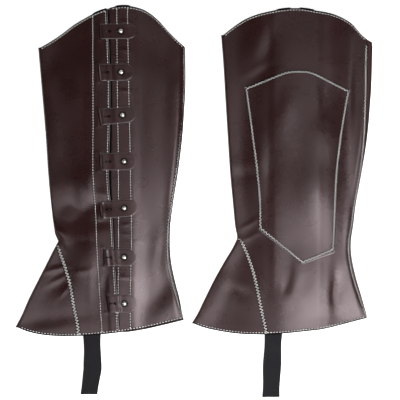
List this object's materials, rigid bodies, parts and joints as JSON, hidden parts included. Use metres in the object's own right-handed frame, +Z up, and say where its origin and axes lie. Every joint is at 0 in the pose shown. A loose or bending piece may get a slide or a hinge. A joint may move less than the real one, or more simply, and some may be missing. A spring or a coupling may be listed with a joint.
{
  "type": "pair of leather boot covers",
  "caption": "Pair of flared faux-leather boot covers, each with a toe gusset, a calf patch, studded closing straps and an elastic stirrup, laid flat.",
  "frame": {"origin": "on the surface that the pair lies on, under the middle of the pair's bounding box", "axes": "+Z up off the surface, +Y from the hems towards the tops of the covers, +X from the left cover towards the right one; both toes point to -X"},
  "size_m": [0.4764, 0.5232, 0.0161],
  "materials": {
    "leather": "fine-grained, semi-gloss",
    "facing": "matt",
    "elastic": "ribbed weave",
    "nickel": "polished"
  },
  "bodies": {
    "root": {"left_body": "leather", "left_back_panel": "leather", "left_toe_gusset": "leather", "left_calf_patch": "leather", "left_front_facing": "facing", "left_back_facing": "facing", "left_stirrup": "elastic", "left_strap_1": "leather", "left_strap_2": "leather", "left_strap_3": "leather", "left_strap_4": "leather", "left_strap_5": "leather", "left_strap_6": "leather", "left_strap_7": "leather", "left_stud_1": "nickel", "left_stud_2": "nickel", "left_stud_3": "nickel", "left_stud_4": "nickel", "left_stud_5": "nickel", "left_stud_6": "nickel", "left_stud_7": "nickel", "right_body": "leather", "right_back_panel": "leather", "right_toe_gusset": "leather", "right_calf_patch": "leather", "right_front_facing": "facing", "right_back_facing": "facing", "right_stirrup": "elastic", "right_strap_1": "leather", "right_strap_2": "leather", "right_strap_3": "leather", "right_strap_4": "leather", "right_strap_5": "leather", "right_strap_6": "leather", "right_strap_7": "leather", "right_stud_1": "nickel", "right_stud_2": "nickel", "right_stud_3": "nickel", "right_stud_4": "nickel", "right_stud_5": "nickel", "right_stud_6": "nickel", "right_stud_7": "nickel"}
  },
  "joints": []
}
